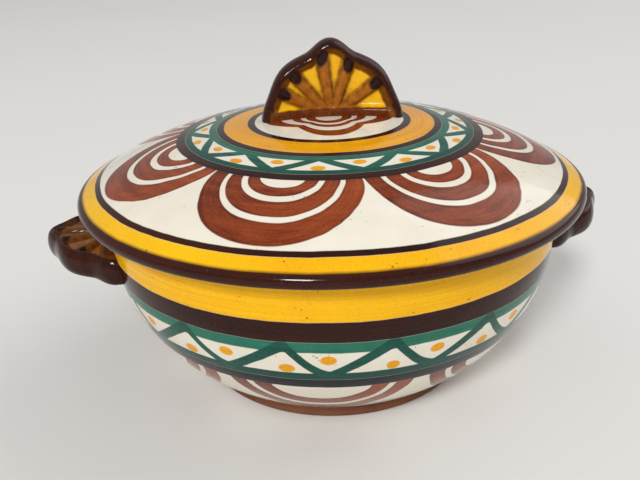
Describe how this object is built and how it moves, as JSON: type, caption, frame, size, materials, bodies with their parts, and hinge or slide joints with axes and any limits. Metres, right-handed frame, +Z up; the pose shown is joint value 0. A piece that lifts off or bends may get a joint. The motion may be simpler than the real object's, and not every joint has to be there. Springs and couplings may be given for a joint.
{
  "type": "lidded earthenware pot",
  "caption": "Round glazed earthenware cooking and serving pot with a lift-off domed lid, a shell-shaped lid grip and shell-shaped side lugs.",
  "frame": {"origin": "on the table under the pot, at the centre of the foot ring", "axes": "+Z up along the pot's turning axis, +X through the right lug, +Y to the back of the picture"},
  "size_m": [0.266, 0.2308, 0.1539],
  "materials": {
    "bare_clay": "unglazed, matt",
    "painted_glaze": "glossy, hand painted",
    "amber_glaze": "glossy"
  },
  "bodies": {
    "bowl": {"foot_ring": "bare_clay", "bowl": "painted_glaze", "right_lug": "amber_glaze", "left_lug": "amber_glaze"},
    "locating_ring": {"lid_locating_ring": "bare_clay"},
    "lid": {"lid": "painted_glaze", "lid_grip": "amber_glaze"}
  },
  "joints": [
    {"name": "lid_lift", "type": "slide", "parent": "bowl", "child": "locating_ring", "axis": [0, 0, 1], "range_m": [0, 0.12]},
    {"name": "lid_turn", "type": "hinge", "parent": "locating_ring", "child": "lid", "pos_m": [0, 0, 0.1], "axis": [0, 0, 1], "continuous": true}
  ]
}
